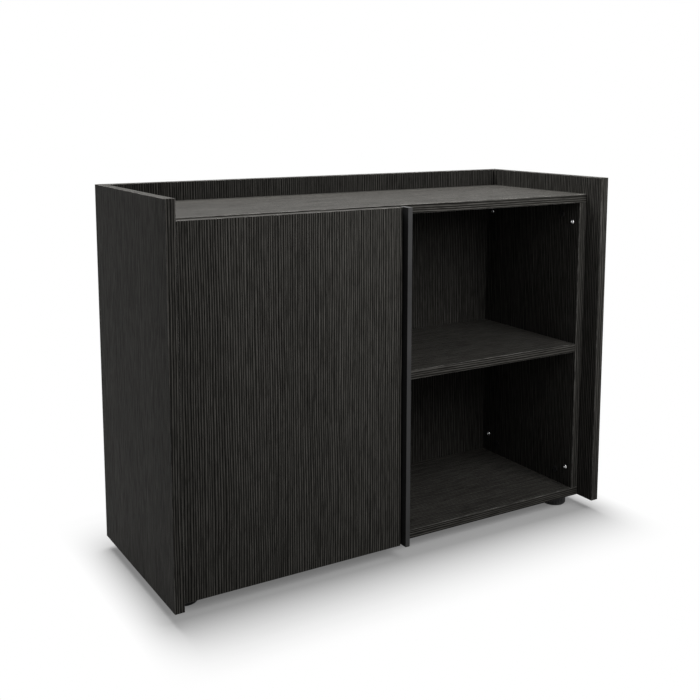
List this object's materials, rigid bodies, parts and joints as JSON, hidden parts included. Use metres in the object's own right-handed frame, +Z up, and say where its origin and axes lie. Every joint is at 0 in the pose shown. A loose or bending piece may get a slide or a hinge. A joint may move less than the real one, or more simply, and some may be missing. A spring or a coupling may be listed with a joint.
{
  "type": "sideboard",
  "caption": "Low dark oak sideboard with a hinged door beside an open shelved bay, a recessed top inside a raised rim and round levelling feet.",
  "frame": {"origin": "on the floor, under the middle of the sideboard", "axes": "+X to the right along the width, +Y to the rear, +Z up; the door and the open bay face -Y"},
  "size_m": [1.2, 0.456, 0.894],
  "materials": {
    "dark_oak": "near-black oak grain, matt",
    "oak_band": "matching edge band",
    "anthracite_metal": "anthracite coated",
    "bright_chrome": "bright",
    "steel": "nickel plated",
    "black_plastic": "black",
    "beech": "plain beech",
    "buffer_rubber": "grey"
  },
  "bodies": {
    "case": {"outer_side_left": "dark_oak", "outer_side_right": "dark_oak", "rear_panel": "dark_oak", "top_board": "dark_oak", "bottom_board": "dark_oak", "inner_side_left": "dark_oak", "inner_side_right": "dark_oak", "centre_divider": "dark_oak", "shelf_door_bay": "dark_oak", "shelf_open_bay": "dark_oak", "outer_side_front_bands": "oak_band", "outer_side_rear_bands": "oak_band", "outer_side_top_bands": "oak_band", "rear_panel_top_band": "oak_band", "case_level_bands": "oak_band", "case_upright_bands": "oak_band", "shelf_front_bands": "oak_band", "shelf_pins": "steel", "hinge_arms": "steel", "hinge_arm_pins": "steel", "hinge_plates": "steel", "hinge_plate_screws": "steel", "cam_locks": "steel", "cam_bolts": "steel", "connector_nuts": "steel", "rear_screws": "steel", "foot_sockets": "black_plastic", "cam_caps": "black_plastic", "rear_screw_caps": "black_plastic", "connector_bolts": "bright_chrome", "dowels": "beech"},
    "hinge_link_pair": {"hinge_links": "steel"},
    "door": {"door_panel": "dark_oak", "door_upright_band": "oak_band", "door_level_bands": "oak_band", "door_buffers": "buffer_rubber", "handle_profile": "anthracite_metal", "handle_plugs": "black_plastic", "hinge_cups": "steel", "hinge_cup_pins": "steel", "hinge_cup_screws": "steel"},
    "foot_front_left": {"foot_front_left": "black_plastic"},
    "foot_front_right": {"foot_front_right": "black_plastic"},
    "foot_rear_left": {"foot_rear_left": "black_plastic"},
    "foot_rear_right": {"foot_rear_right": "black_plastic"}
  },
  "joints": [
    {"name": "hinge_link_swing", "type": "hinge", "parent": "case", "child": "hinge_link_pair", "pos_m": [-0.5365, -0.1655, 0.445], "axis": [0, 0, 1], "range_deg": [0, 30]},
    {"name": "door_swing", "type": "hinge", "parent": "hinge_link_pair", "child": "door", "pos_m": [-0.5621, -0.1829, 0.445], "axis": [0, 0, -1], "range_deg": [0, 120]},
    {"name": "foot_front_left_level", "type": "slide", "parent": "case", "child": "foot_front_left", "axis": [0, 0, -1], "range_m": [0, 0.01]},
    {"name": "foot_front_right_level", "type": "slide", "parent": "case", "child": "foot_front_right", "axis": [0, 0, -1], "range_m": [0, 0.01]},
    {"name": "foot_rear_left_level", "type": "slide", "parent": "case", "child": "foot_rear_left", "axis": [0, 0, -1], "range_m": [0, 0.01]},
    {"name": "foot_rear_right_level", "type": "slide", "parent": "case", "child": "foot_rear_right", "axis": [0, 0, -1], "range_m": [0, 0.01]}
  ],
  "couplings": [
    {"joint": "hinge_link_swing", "follows": "door_swing", "ratio": 0.25}
  ]
}
